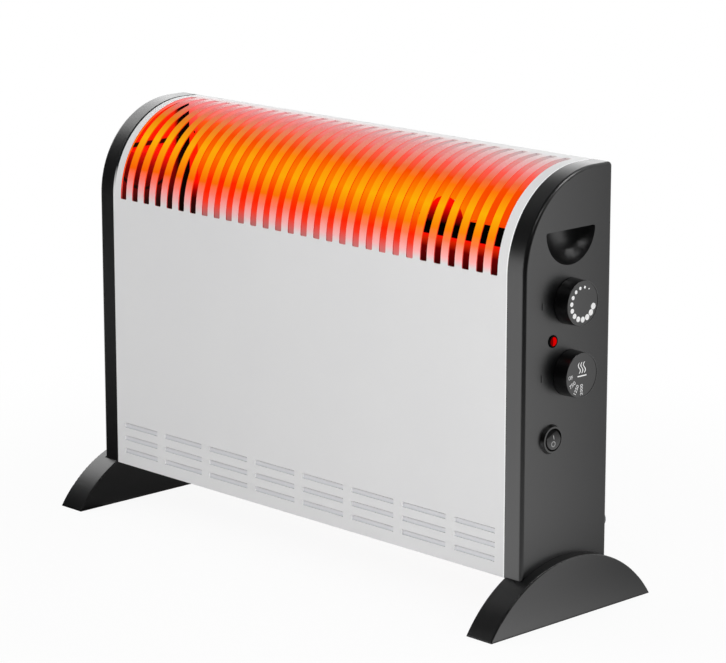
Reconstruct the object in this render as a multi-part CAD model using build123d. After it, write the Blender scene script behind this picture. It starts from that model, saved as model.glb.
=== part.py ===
from build123d import *
import math
import os

# Free-standing convector heater with a turbo fan, in millimetres.
# X runs along the length, -Y is the front, +Z is up and z = 0 is the floor.
# The controls are on the +X end cap.

# Body, seen from outside
casing_length = 501.0       # sheet that shows between the two end caps
body_depth = 105.0
body_base = 40.0            # underside of the body above the floor
body_height = 340.0
front_curve = 85.0          # radius of the bend from the front to the top
back_round = 3.6            # radius of the top corner at the back
sheet = 1.0                 # thickness of all steel sheet
sheet_gap = 0.25            # play between a sheet and the moulding it slides over
past = 1.0                  # how far a cut runs on past the face it leaves by

# Outlet slots over the bend
slot_count = 30
slot_pitch = 16.25
slot_width = 7.8
slot_corner = 1.5
slot_before_curve = 1.0     # how far the slots start below the bend
slot_past_curve = 4.0       # how far they run on over the flat top

# Pressed air louvres low on the front
louvre_columns = 8
louvre_rows = 3
louvre_pitch = 62.5
louvre_length = 52.0
louvre_height = 4.6
louvre_row_pitch = 12.3
louvre_depth = 1.2
louvre_slit = 0.8
louvre_first = 11.3         # lowest row above the underside

# Folded edges of the casing and the rear panel
top_lip = 10.0
bottom_lip = 14.0
seam_gap = 0.5
edge_play = 0.5

# Rear panel
intake_columns = 14
intake_rows = 4
intake_pitch = 32.0
intake_length = 22.0
intake_height = 3.5
intake_row_pitch = 10.0
intake_first = 30.0         # lowest row above the underside

# Moulded end caps
cap_width = 19.5
cap_wall = 2.5
cap_edge_round = 3.2
spigot_length = 9.0         # tongue that reaches inside the casing
spigot_wall = 2.0
boss_radius = 4.0
pilot_radius = 1.45

# Carrying pocket in each cap
pocket_radius = 29.7
pocket_depth = 22.0
pocket_wall = 2.2
pocket_drop = 50.0          # flat upper edge below the top of the body
pocket_corner = 2.0

# Places of the controls on the right cap
controls_from_front = 54.6
thermostat_drop = 110.0     # below the top of the body
selector_drop = 170.5
lamp_drop = 141.0
lamp_from_front = 34.4
rocker_drop = 223.5
rocker_from_front = 33.2
pointer_from_front = 21.0
pointer_length = 8.4
pointer_width = 6.0
pointer_height = 0.5

# Knobs
knob_radius = 19.0
knob_draft = 0.5            # larger radius at the foot of the knob
knob_reach = 14.5           # face of the knob out from the cap
knob_lift = 0.8             # gap under the knob
knob_wall = 2.2
knob_rim = 0.8
knob_face_sink = 0.3
knob_edge_round = 0.5
knob_hub_radius = 5.5
stem_radius = 3.0
stem_tail = 2.0             # inner end of the stem behind the cap's wall
stem_play = 0.05
stem_flat = 1.0             # depth of the flat on the stem
collar_radius = 4.8
collar_play = 0.3
nut_flats = 13.0
nut_height = 2.5

# Thermostat and switch bodies behind the cap
thermostat_depth = 20.0
thermostat_width = 32.0
thermostat_height = 26.0
thermostat_corner = 2.0
thermostat_arm = 3.0        # contact arm out from the back of the case
thermostat_arm_width = 20.0
thermostat_arm_height = 10.0
thermostat_tab_places = (9.0, 13.0)
selector_radius = 17.0
selector_depth = 19.0
selector_ring_radius = 13.0
selector_ring_height = 2.0
selector_tab_circle = 8.0
tab_length = 8.0            # push-on connector tabs
tab_width = 6.3
tab_thickness = 0.8

# Indicator lamp
lamp_radius = 4.2
lamp_bezel_radius = 5.3
lamp_bezel_height = 0.9
lamp_dome = 0.7
lamp_barrel_radius = 4.6
lamp_length = 14.0
lamp_seat = 2.0             # how deep the lens sits in the holder
lamp_ledge = 1.0            # ledge under the lens
lamp_floor = 4.0
lamp_tab_length = 6.0
lamp_tab_width = 3.0
lamp_tab_spread = 2.6

# Round rocker switch
rocker_bezel_radius = 12.6
rocker_rim_radius = 11.2
rocker_bore = 9.7
rocker_barrel_radius = 11.0
rocker_bezel_height = 3.5
rocker_length = 20.0
rocker_ball = 9.4           # radius of the rounded side of the button
rocker_face = 3.2           # ridge of the button out from its pivot
rocker_back = 2.5
rocker_well = 8.7           # depth of the bore behind the pivot
rocker_tab_pitch = 6.0
rocker_throw = 16.0         # angle between the two positions, degrees
rocker_pin = 1.5
rocker_pin_play = 0.06
rocker_pin_seat = 0.7
panel_play = 0.2

# Feet
foot_width = 28.5
foot_length = 196.0
foot_height = 53.0
foot_tip = 1.5              # height of the blunt ends of the arch
foot_overhang = 10.0        # foot out past the outer face of the cap
foot_wall = 2.5
foot_deck = 3.5
foot_rib = 2.0
foot_rib_pitch = 45.0
foot_play = 0.25
foot_edge_round = 1.2
foot_screw_spread = 32.0    # screws either side of the middle
rear_screw_margin = 35.0    # end screws from the top and the underside of the body

# Screws
screw_head_radius = 3.5
screw_head_height = 2.0
screw_radius = 1.4
screw_play = 0.3
screw_bite = 8.0            # depth of the hole in the plastic
screw_short = 1.0           # the screw ends this far from the bottom of its hole

# Heating elements: finned aluminium blocks on steel-sheathed rods
hot_left = 225.0            # left end of the fin blocks from the middle
hot_right = 110.0
lower_element_rise = 100.0  # rod above the underside of the body
upper_element_rise = 155.0
fin_spine = 2.2
fin_thickness = 1.3
fin_reach = 28.0
fin_pitch = 6.0
fin_tall = 20.0
fin_short = 13.0
fin_core = 6.5
rod_radius = 4.0
rod_play = 0.05
rod_overhang = 20.0
terminal_radius = 1.8
terminal_length = 9.0
bush_radius = 7.0
bush_flange = 9.5
bush_flange_height = 2.0
bush_sleeve = 4.0

# Heat shields and brackets
reflector_gap = 8.0         # air space between the reflector and the rear panel
reflector_low = 64.0        # lower edge above the underside of the body
reflector_drop = 15.0       # upper edge below the top of the body
left_plate_inset = 12.0     # left end plate from the end of the casing
left_plate_drop = 130.0
left_plate_screw_low = 22.0     # lower screws above the underside of the body
left_plate_screw_high = 14.0    # upper screws below the upper edge of the plate
left_plate_screw_spread = 36.0
side_play = 5.5             # plates stop this far short of the front sheet
shield_place = 121.0        # partition of the control space, from the middle
shield_end = 237.0
shield_drop = 68.0          # shelf below the top of the body
shield_foot = 15.0
shield_flange = 22.0
shield_front = 27.5         # front wall of the control space, back from the front of the body
shield_lip = 15.4           # how far the front wall rises above the shelf
ear_radius = 20.0
ear_place = 33.0            # middle of the ear from the partition
ear_rise = 13.4             # middle of the ear above the shelf
shield_screw_places = (-15.0, 24.0)
shield_screw_drop = 83.0
cutout_radius = 8.0
cutout_height = 8.0
cutout_step_radius = 5.6
cutout_step_height = 2.0
cutout_tab_width = 4.0

# Fan
fan_place = -50.0           # fan axis from the middle
fan_radius = 42.0
fan_blades = 5
fan_blade_width = 22.0
fan_blade_pitch = 30.0      # blade angle, degrees
fan_blade_thickness = 1.6
fan_blade_camber = 3.0
fan_hub_radius = 14.0
fan_hub_height = 15.0
fan_hub_wall = 2.0
fan_hub_roof = 3.0
fan_hub_edge = 2.0
fan_bore_depth = 12.0
fan_bore_play = 0.5         # the shaft ends this far from the bottom of the bore
fan_gap = 6.0               # motor to hub
fan_stem_radius = 1.6
fan_stem_play = 0.04
fan_stem_rise = 2.0         # lower end of the shaft above the strap
motor_length = 46.0
motor_width = 38.0
motor_height = 20.0
motor_corner = 4.0
motor_boss_radius = 8.0
motor_boss_height = 3.0
coil_reach = 8.0            # winding out past the end of the iron
coil_width = 22.0
coil_step = 3.0             # winding lower than the iron, above and below
strap_width = 24.0
strap_rise = 8.0
strap_span = 84.0
strap_shelf = 6.0           # raised part of the strap past each side of the motor

# Underside and wiring
floor_slot_count = 18
floor_slot_pitch = 25.0
floor_slot_width = 6.0
floor_slot_length = 56.0
block_place = 190.0
block_length = 36.0
block_width = 20.0
block_height = 15.0
block_ways = 3
block_hole_radius = 2.5
block_hole_floor = 4.0
inlet_rise = 32.0           # cable inlet above the underside
inlet_bore = 4.0
inlet_body = 6.0
inlet_flange = 8.5
inlet_flange_height = 3.0
inlet_edge = 1.0
inlet_length = 11.0

# Places worked out from the sizes above
end = casing_length / 2
cap_face = end + cap_width
cap_inside = cap_face - cap_wall
front = -body_depth / 2
back = body_depth / 2
top = body_base + body_height
curve_y = front + front_curve
curve_z = top - front_curve
field_half = ((slot_count - 1) * slot_pitch + slot_width) / 2
spigot_inset = sheet + sheet_gap
spigot_end = end - spigot_length
control_y = front + controls_from_front
thermostat_z = top - thermostat_drop
selector_z = top - selector_drop
lamp_y = front + lamp_from_front
lamp_z = top - lamp_drop
rocker_y = front + rocker_from_front
rocker_z = top - rocker_drop
rocker_x = cap_face + rocker_bezel_height - rocker_face
pocket_z = top - pocket_drop
knob_face = cap_face + knob_reach
floor_top = body_base + 2 * sheet
reflector_y = back - sheet - reflector_gap
shelf_z = top - shield_drop
foot_outer = cap_face + foot_overhang
foot_inner = foot_outer - foot_width
foot_rise = foot_height - foot_tip
foot_curve = (foot_length**2 / 4 + foot_rise**2) / (2 * foot_rise)
foot_screw_x = (foot_inner + cap_inside) / 2
rear_screw_x = end - spigot_length / 2
left_plate_top = top - left_plate_drop

# The knobs reach further than the feet, so the middle of the whole heater
# lies this far from the middle of the casing.
middle_x = (max(knob_face, foot_outer) - foot_outer) / 2


# Solids between limits

def block(x_low, x_high, y_low, y_high, z_low, z_high):
    corner = (Align.MIN, Align.MIN, Align.MIN)
    solid = Box(x_high - x_low, y_high - y_low, z_high - z_low, align=corner)
    return Pos(x_low, y_low, z_low) * solid


def along_x(face, x_low, x_high):
    return extrude(Plane.YZ.offset(x_low) * face, x_high - x_low)


def along_y(face, y_low, y_high):
    return extrude(Plane.XZ.offset(-y_low) * face, y_low - y_high)


def along_z(face, z_low, z_high):
    return extrude(Plane.XY.offset(z_low) * face, z_high - z_low)


def disc_x(radius, x_low, x_high, y, z):
    return along_x(Pos(y, z) * Circle(radius), x_low, x_high)


def disc_y(radius, y_low, y_high, x, z):
    return along_y(Pos(x, z) * Circle(radius), y_low, y_high)


def disc_z(radius, z_low, z_high, x, y):
    return along_z(Pos(x, y) * Circle(radius), z_low, z_high)


def turned(profile, x, y, z):
    # Spin a half profile, drawn as (distance along +X, radius), about the line through the point.
    start = Plane(origin=(x, y, z), x_dir=(1, 0, 0), z_dir=(0, -1, 0))
    return revolve(start * profile, Axis((x, y, z), (1, 0, 0)))


def outline(*points):
    return make_face(Polyline(*points, close=True))


def folded(points, thickness):
    # A folded strip: the path of one face, and the same path moved to its left by the thickness.
    path = [Vector(*p) for p in points]
    steps = [(b - a).normalized() for a, b in zip(path, path[1:])]
    sides = [Vector(-s.Y, s.X) for s in steps]
    inner = [path[0] + sides[0] * thickness]
    for corner, before, after in zip(path[1:-1], sides, sides[1:]):
        inner.append(corner + (before + after) * (thickness / (1 + before.dot(after))))
    inner.append(path[-1] + sides[-1] * thickness)
    return outline(*[(p.X, p.Y) for p in path + inner[::-1]])


def body_outline(inset, corner):
    # Side outline of the body: upright front, quarter bend, flat top, upright back.
    low = body_base + inset
    high = top - inset
    near = front + inset
    far = back - inset
    bend = CenterArc((curve_y, curve_z), front_curve - inset, 180, -90)
    rest = Polyline((curve_y, high), (far, high), (far, low), (near, low), (near, curve_z))
    face = make_face(bend + rest)
    if corner > 0:
        edge = face.vertices().sort_by(lambda v: v.X + v.Y)[-1]
        face = fillet(edge, corner)
    return face


# Sheet steel casing

def grille_cutters():
    slot_low = curve_z - slot_before_curve
    slot_back = curve_y + slot_past_curve
    half = slot_width / 2
    cutter = block(-half, half, front - slot_width, slot_back, slot_low, top + slot_width)
    uprights = cutter.edges().filter_by(Axis.Z).group_by(Axis.Y)[-1]
    sills = cutter.edges().filter_by(Axis.Y).group_by(Axis.Z)[0]
    cutter = fillet(uprights + sills, slot_corner)
    places = [(i - (slot_count - 1) / 2) * slot_pitch for i in range(slot_count)]
    return [Pos(x, 0, 0) * cutter for x in places]


def louvre_places():
    places = []
    for row in range(louvre_rows):
        z = body_base + louvre_first + row * louvre_row_pitch
        for column in range(louvre_columns):
            middle = (column - (louvre_columns - 1) / 2) * louvre_pitch
            low = max(middle - louvre_length / 2, -field_half)
            high = min(middle + louvre_length / 2, field_half)
            places.append((low, high, z))
    return places


def louvre_shell(low, high, z):
    behind = front + louvre_depth + sheet
    roof = z + louvre_height + sheet
    return block(low - sheet, high + sheet, front + sheet / 2, behind, z - sheet, roof)


def louvre_space(low, high, z):
    pocket = block(low, high, front - sheet, front + louvre_depth, z, z + louvre_height)
    behind = front + louvre_depth + 2 * sheet
    slit_high = z + louvre_height
    slit_front = front + louvre_depth - sheet
    slit = block(low + sheet, high - sheet, slit_front, behind, slit_high - louvre_slit, slit_high)
    return pocket + slit


def front_casing():
    wall = body_outline(0, back_round) - body_outline(sheet, back_round - sheet)
    keep_front = front + bottom_lip
    open_back = Pos(back, 0) * Rectangle(2 * sheet, 2 * (top - top_lip))
    middle = (keep_front + back) / 2
    open_base = Pos(middle, body_base) * Rectangle(back - keep_front + sheet, 4 * sheet)
    skin = along_x(wall - open_back - open_base, -end, end)
    skin = skin + [louvre_shell(*place) for place in louvre_places()]
    skin = skin - [louvre_space(*place) for place in louvre_places()]
    return skin - grille_cutters()


def rear_panel():
    skin_high = top - top_lip - seam_gap
    tuck_low = skin_high - 2 * sheet
    tuck_high = top - 3 * sheet
    inner = back - sheet
    path = [
        (back - bottom_lip, body_base),
        (back, body_base),
        (back, tuck_low),
        (inner, tuck_low + sheet),
        (inner, tuck_high),
    ]
    panel = along_x(folded(path, sheet), -end, end)
    tuck_end = spigot_end - edge_play
    corner = block(tuck_end, end + sheet, inner - 2 * sheet, inner, tuck_low - sheet, top)
    panel = panel - corner - mirror(corner, Plane.YZ)
    slots = []
    for row in range(intake_rows):
        z = body_base + intake_first + row * intake_row_pitch
        for column in range(intake_columns):
            x = (column - (intake_columns - 1) / 2) * intake_pitch
            half = intake_length / 2
            slots.append(block(x - half, x + half, inner - sheet, back + sheet, z, z + intake_height))
    hole = screw_radius + screw_play
    holes = [disc_y(hole, inner - sheet, back + sheet, x, z) for x, z in rear_screw_places()]
    return panel - slots - holes


def bottom_grille():
    long_half = spigot_end - edge_play
    deep_half = back - 2 * sheet
    plate = block(-long_half, long_half, -deep_half, deep_half, body_base + sheet, floor_top)
    slots = []
    for i in range(floor_slot_count):
        x = (i - (floor_slot_count - 1) / 2) * floor_slot_pitch
        half = floor_slot_width / 2
        reach = floor_slot_length / 2
        slots.append(block(x - half, x + half, -reach, reach, body_base, floor_top + sheet))
    return plate - slots


# Moulded end caps, drawn on the +X side

def rear_screw_places():
    heights = (top - rear_screw_margin, (top + body_base) / 2, body_base + rear_screw_margin)
    return [(side * rear_screw_x, z) for side in (-1, 1) for z in heights]


def left_plate_screw_places():
    heights = (body_base + left_plate_screw_low, left_plate_top - left_plate_screw_high)
    return [(y, z) for z in heights for y in (-left_plate_screw_spread, left_plate_screw_spread)]


def pocket_ball(grow):
    # Ball whose slice past the cap face is the carrying pocket.
    ball = (pocket_radius**2 + pocket_depth**2) / (2 * pocket_depth)
    sphere = Pos(cap_face + ball - pocket_depth, control_y, pocket_z) * Sphere(ball + grow)
    mouth = Circle(pocket_radius + grow) & Pos(0, -ball) * Rectangle(4 * ball, 2 * (ball + grow))
    ends = mouth.vertices().group_by(Axis.Y)[-1]
    mouth = fillet(ends, pocket_corner + grow)
    return sphere & along_x(Pos(control_y, pocket_z) * mouth, end - pocket_depth, 2 * cap_face)


def boss_x(x_low, y, z):
    return disc_x(boss_radius, x_low, cap_inside + cap_wall / 2, y, z)


def end_cap():
    shell = along_x(body_outline(0, back_round), end, cap_face)
    rim = shell.faces().sort_by(Axis.X)[-1].edges()
    shell = fillet(rim, cap_edge_round)
    shell = shell - along_x(body_outline(cap_wall, 0), end - sheet, cap_inside)
    tongue = body_outline(spigot_inset, back_round - spigot_inset)
    tongue = tongue - body_outline(spigot_inset + spigot_wall, 0)
    shell = shell + along_x(tongue, spigot_end, end + spigot_wall)
    bowl = pocket_ball(pocket_wall) - block(cap_inside + cap_wall / 2, 2 * cap_face, front, back, 0, top)
    shell = shell + bowl - pocket_ball(0)
    post_top = body_base + cap_wall + screw_bite
    for y in (-foot_screw_spread, foot_screw_spread):
        post = disc_z(boss_radius, body_base + cap_wall / 2, post_top, foot_screw_x, y)
        hole = disc_z(pilot_radius, body_base - past, post_top, foot_screw_x, y)
        shell = shell + post - hole
    for x, z in [place for place in rear_screw_places() if place[0] > 0]:
        near = back - spigot_inset - screw_bite
        post = disc_y(boss_radius, near, back - spigot_inset - spigot_wall / 2, x, z)
        hole = disc_y(pilot_radius, near - sheet, back, x, z)
        shell = shell + post - hole
    return shell


def pointer(z):
    y = front + pointer_from_front
    half = pointer_width / 2
    mark = outline((y, z - half), (y + pointer_length, z), (y, z + half))
    return along_x(mark, cap_face - sheet / 2, cap_face + pointer_height)


def right_end_cap():
    cap = end_cap()
    for y in shield_screw_places:
        z = top - shield_screw_drop
        post = boss_x(shield_end, y, z)
        cap = cap + post - disc_x(pilot_radius, shield_end - sheet, shield_end + screw_bite, y, z)
    through = (cap_inside - sheet, cap_face + sheet)
    for z in (thermostat_z, selector_z):
        cap = cap - disc_x(collar_radius + collar_play, *through, control_y, z) + pointer(z)
    cap = cap - disc_x(lamp_barrel_radius + panel_play, *through, lamp_y, lamp_z)
    cap = cap - disc_x(rocker_barrel_radius + panel_play, *through, rocker_y, rocker_z)
    x = (end + cap_inside) / 2
    z = body_base + inlet_rise
    return cap - disc_y(inlet_body + panel_play, back - 2 * cap_wall, back + sheet, x, z)


def left_end_cap():
    cap = end_cap()
    face = end - left_plate_inset
    for y, z in left_plate_screw_places():
        post = boss_x(face, y, z)
        cap = cap + post - disc_x(pilot_radius, face - sheet, face + screw_bite, y, z)
    return mirror(cap, Plane.YZ)


# Feet

def foot_slice(inset):
    # Top slice of a disc, the same distance inside the foot all round.
    disc = disc_x(foot_curve - inset, foot_inner + inset, foot_outer - inset, 0, foot_height - foot_curve)
    if inset == 0:
        disc = fillet(disc.edges().filter_by(GeomType.CIRCLE), foot_edge_round)
    half = foot_length / 2 - inset
    return disc & block(foot_inner, foot_outer, -half, half, 0, 2 * foot_height)


def right_foot():
    seat_half = back + foot_play
    seat = block(0, cap_face + foot_play, -seat_half, seat_half, body_base, 2 * body_base)
    deck_half = seat_half + foot_wall
    deck_end = cap_face + foot_play + foot_wall
    deck = block(0, deck_end, -deck_half, deck_half, body_base - foot_deck, 2 * body_base)
    foot = foot_slice(0) - seat - (foot_slice(foot_wall) - deck)
    inside = foot_slice(foot_wall / 2) - seat
    for y in (-foot_rib_pitch * 1.5, -foot_rib_pitch / 2, foot_rib_pitch / 2, foot_rib_pitch * 1.5):
        rib = block(foot_inner, foot_outer, y - foot_rib / 2, y + foot_rib / 2, 0, foot_height)
        foot = foot + (rib & inside)
    hole = screw_radius + screw_play
    for y in (-foot_screw_spread, foot_screw_spread):
        foot = foot - disc_z(hole, body_base - 2 * foot_deck, body_base + sheet, foot_screw_x, y)
    return foot


def left_foot():
    return mirror(right_foot(), Plane.YZ)


# Screws, each a flat head on a plain shank

def screw(length):
    head = Cylinder(screw_head_radius, screw_head_height, align=(Align.CENTER, Align.CENTER, Align.MAX))
    return head + Cylinder(screw_radius, length, align=(Align.CENTER, Align.CENTER, Align.MIN))


def foot_screws():
    length = foot_deck + cap_wall + screw_bite - screw_short
    one = screw(length)
    z = body_base - foot_deck
    across = (-foot_screw_spread, foot_screw_spread)
    return [Pos(x, y, z) * one for x in (-foot_screw_x, foot_screw_x) for y in across]


def casing_screws():
    one = screw(sheet + sheet_gap + screw_bite - screw_short)
    return [Location((x, back, z), (90, 0, 0)) * one for x, z in rear_screw_places()]


def plate_screws():
    one = screw(sheet + screw_bite - screw_short)
    x = -(end - left_plate_inset) + sheet
    left = [Location((x, y, z), (0, -90, 0)) * one for y, z in left_plate_screw_places()]
    z = top - shield_screw_drop
    right = [Location((shield_end - sheet, y, z), (0, 90, 0)) * one for y in shield_screw_places]
    return left + right


# Heating elements

def fin_block(z):
    section = Pos(0, z) * Circle(fin_core) + Pos(0, z) * Rectangle(2 * fin_reach, fin_spine)
    count = int((fin_reach - fin_core) / fin_pitch) + 1
    for i in range(count):
        y = fin_reach - fin_thickness / 2 - i * fin_pitch
        tall = fin_tall - (fin_tall - fin_short) * i / max(count - 1, 1)
        fin = Rectangle(fin_thickness, 2 * tall)
        section = section + Pos(y, z) * fin + Pos(-y, z) * fin
    section = section - Pos(0, z) * Circle(rod_radius + rod_play)
    return along_x(section, -hot_left, hot_right)


def heating_rod(z):
    low = -hot_left - rod_overhang
    high = hot_right + rod_overhang
    sheath = disc_x(rod_radius, low, high, 0, z)
    return sheath + disc_x(terminal_radius, low - terminal_length, high + terminal_length, 0, z)


def element_bushes():
    left = -(end - left_plate_inset) + sheet
    bushes = []
    for rise in (lower_element_rise, upper_element_rise):
        z = body_base + rise
        bore = rod_radius + 2 * rod_play
        for face, way in ((left, 1), (shield_place, -1)):
            flange = sorted((face, face + way * bush_flange_height))
            sleeve = sorted((face, face - way * bush_sleeve))
            body = disc_x(bush_flange, *flange, 0, z) + disc_x(bush_radius, *sleeve, 0, z)
            bushes.append(body - disc_x(bore, -end, end, 0, z))
    return bushes


def bush_holes():
    hole = bush_radius + 2 * rod_play
    rises = (lower_element_rise, upper_element_rise)
    return [disc_x(hole, -end, end, 0, body_base + rise) for rise in rises]


# Plates and shields inside

def left_end_plate():
    x = -(end - left_plate_inset)
    reach = reflector_y - edge_play
    plate = block(x, x + sheet, front + side_play, reach, floor_top, left_plate_top)
    foot = block(x, x + shield_foot, front + side_play, reach, floor_top, floor_top + sheet)
    plate = plate + foot
    for y, z in left_plate_screw_places():
        plate = plate - disc_x(screw_radius + screw_play, -end, end, y, z)
    return plate - bush_holes()


def control_shield():
    # Partition, front wall and shelf keep the hot air off the controls. The ear holds the cut-out.
    path = [
        (shield_place + shield_foot, floor_top),
        (shield_place, floor_top),
        (shield_place, shelf_z),
        (shield_end, shelf_z),
        (shield_end, shelf_z - shield_flange),
    ]
    strip = folded(path, -sheet)
    lip_y = front + shield_front
    reach = reflector_y - edge_play
    shield = along_y(strip, lip_y, reach)
    wall = outline(
        (shield_place, floor_top),
        (shield_end, floor_top),
        (shield_end, shelf_z + shield_lip),
        (shield_place, shelf_z + shield_lip),
    )
    ear = Pos(shield_place + ear_place, shelf_z + ear_rise) * Circle(ear_radius)
    above = Pos(shield_place + ear_place, shelf_z + ear_radius) * Rectangle(2 * ear_radius, 2 * ear_radius)
    shield = shield + along_y(wall + (ear & above), lip_y - sheet, lip_y)
    hole = screw_radius + screw_play
    for y in shield_screw_places:
        z = top - shield_screw_drop
        shield = shield - disc_x(hole, shield_end - 2 * sheet, shield_end + sheet, y, z)
    holes = [hole & block(0, shield_end - 2 * sheet, front, back, 0, top) for hole in bush_holes()]
    return shield - holes


def reflector():
    low = body_base + reflector_low
    high = top - reflector_drop
    seat = back - sheet
    path = [(seat, low), (reflector_y, low), (reflector_y, high), (seat, high)]
    half = spigot_end - edge_play
    return along_x(folded(path, -sheet), -half, half)


def thermal_cutout():
    x = shield_place + ear_place
    z = shelf_z + ear_rise
    y = front + shield_front
    body = disc_y(cutout_radius, y, y + cutout_height, x, z)
    body = body + disc_y(cutout_step_radius, y, y + cutout_height + cutout_step_height, x, z)
    low = y + cutout_height - sheet
    half = cutout_tab_width / 2
    for tab_x in (x - cutout_radius / 2, x + cutout_radius / 2):
        body = body + block(tab_x - half, tab_x + half, low, low + tab_thickness, z, z + 2 * cutout_radius)
    return body


# Turbo fan: motor on a strap over the floor grille, impeller above it

def strap_top():
    return floor_top + strap_rise + sheet


def fan_bracket():
    half = strap_span / 2
    flat = motor_width / 2 + strap_shelf
    path = [
        (-half, floor_top),
        (-flat - sheet, floor_top),
        (-flat, floor_top + strap_rise),
        (flat, floor_top + strap_rise),
        (flat + sheet, floor_top),
        (half, floor_top),
    ]
    strap = along_x(folded(path, sheet), fan_place - strap_width / 2, fan_place + strap_width / 2)
    hole = disc_z(motor_boss_radius, floor_top, strap_top() + sheet, fan_place, 0)
    return strap - hole


def fan_motor():
    low = strap_top()
    high = low + motor_height
    stack = block(-motor_length / 2, motor_length / 2, -motor_width / 2, motor_width / 2, low, high)
    stack = Pos(fan_place, 0, 0) * stack
    corners = stack.edges().filter_by(Axis.Z)
    stack = fillet(corners, motor_corner)
    boss = disc_z(motor_boss_radius, high, high + motor_boss_height, fan_place, 0)
    coil_end = fan_place + motor_length / 2 + coil_reach
    half = coil_width / 2
    coil = block(fan_place, coil_end, -half, half, low + coil_step, high - coil_step)
    bore = disc_z(fan_stem_radius + fan_stem_play, low - past, high + 2 * motor_boss_height, fan_place, 0)
    return stack + boss + coil - bore


def hub_low():
    return strap_top() + motor_height + motor_boss_height + fan_gap


def fan_shaft():
    high = hub_low() + fan_bore_depth - fan_bore_play
    return disc_z(fan_stem_radius, strap_top() + fan_stem_rise, high, fan_place, 0)


def fan_blade():
    # Curved blade section drawn across the chord, then run out along the radius.
    half = fan_blade_width / 2
    under = -fan_blade_thickness
    upper = ThreePointArc((-half, 0), (0, fan_blade_camber), (half, 0))
    lower = ThreePointArc((half, under), (0, fan_blade_camber + under), (-half, under))
    tips = Line((half, 0), (half, under)) + Line((-half, under), (-half, 0))
    section = Rot(0, 0, fan_blade_pitch) * make_face(upper + lower + tips)
    return along_x(section, fan_hub_radius / 2, fan_radius + fan_blade_width)


def fan_impeller():
    middle = hub_low() + fan_hub_height / 2
    blades = [Rot(0, 0, i * 360 / fan_blades) * fan_blade() for i in range(fan_blades)]
    disc = Cylinder(fan_radius, 2 * fan_blade_width)
    hub = Cylinder(fan_hub_radius, fan_hub_height)
    crown = hub.faces().sort_by(Axis.Z)[-1].edges()
    hub = chamfer(crown, fan_hub_edge)
    wheel = hub
    for blade in blades:
        wheel = wheel + (blade & disc)
    bore = Cylinder(fan_stem_radius + fan_stem_play / 2, fan_bore_depth)
    hollow = Cylinder(fan_hub_radius - fan_hub_wall, fan_hub_height)
    hollow = hollow - Cylinder(2 * fan_stem_radius, 2 * fan_hub_height)
    wheel = wheel - Pos(0, 0, -fan_hub_roof) * hollow
    wheel = wheel - Pos(0, 0, (fan_bore_depth - fan_hub_height) / 2) * bore
    return Pos(fan_place, 0, middle) * wheel


# Controls

def stem(z):
    # Round stem with a flat, inside end in the switch, outer end in the knob.
    low = cap_inside - stem_tail
    high = knob_face - knob_face_sink - knob_wall
    return disc_x(stem_radius, low, high, control_y, z) - stem_flat_cut(z, 0)


def stem_flat_cut(z, play):
    low = cap_face + knob_lift + nut_height
    edge = control_y + stem_radius - stem_flat + play
    reach = 2 * stem_radius
    return block(low, knob_face, edge, edge + reach, z - reach, z + reach)


def knob(z):
    foot_x = cap_face + knob_lift
    start = Plane((foot_x, control_y, z), x_dir=(0, 1, 0), z_dir=(1, 0, 0))
    tall = knob_face - foot_x
    foot_radius = knob_radius + knob_draft
    seated = (Align.CENTER, Align.CENTER, Align.MIN)
    skirt = start * Cone(foot_radius, knob_radius, tall, align=seated)
    skirt = fillet(skirt.edges().group_by(Axis.X)[-1], knob_edge_round)
    sink = disc_x(knob_radius - knob_rim, knob_face - knob_face_sink, knob_face + past, control_y, z)
    deck = knob_face - knob_face_sink - knob_wall
    inside = disc_x(knob_radius - knob_wall, foot_x - past, deck, control_y, z)
    hub_start = cap_face + nut_height + 2 * knob_lift
    hub = disc_x(knob_hub_radius, hub_start, knob_face - 2 * knob_face_sink, control_y, z)
    hole = disc_x(stem_radius + stem_play, foot_x - past, deck, control_y, z)
    return skirt - sink - inside + hub - (hole - stem_flat_cut(z, stem_play))


def control_nuts():
    nuts = []
    for z in (thermostat_z, selector_z):
        hexagon = Pos(control_y, z) * RegularPolygon(nut_flats / 2, 6, major_radius=False)
        nut = along_x(hexagon, cap_face, cap_face + nut_height)
        nuts.append(nut - disc_x(collar_radius + stem_play, cap_inside, knob_face, control_y, z))
    return nuts


def threaded_collar(z):
    return disc_x(collar_radius, cap_inside - past, cap_face + nut_height, control_y, z)


def stem_bore(z):
    return disc_x(stem_radius + stem_play, cap_inside - stem_tail - past, knob_face, control_y, z)


def thermostat_body():
    z = thermostat_z
    low = cap_inside - thermostat_depth
    half = thermostat_width / 2
    rise = thermostat_height / 2
    case = block(low, cap_inside, control_y - half, control_y + half, z - rise, z + rise)
    corners = case.edges().filter_by(Axis.X)
    case = fillet(corners, thermostat_corner)
    arm_front = control_y - half + thermostat_corner
    arm_back = arm_front + thermostat_arm_width
    arm_rise = thermostat_arm_height / 2
    arm = block(low - thermostat_arm, low, arm_front, arm_back, z - arm_rise, z + arm_rise)
    tabs = []
    tab_rise = tab_width / 2
    for place in thermostat_tab_places:
        y = control_y + place
        tabs.append(block(low - tab_length, low, y, y + tab_thickness, z - tab_rise, z + tab_rise))
    return case + arm + tabs + threaded_collar(z) - stem_bore(z)


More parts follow.
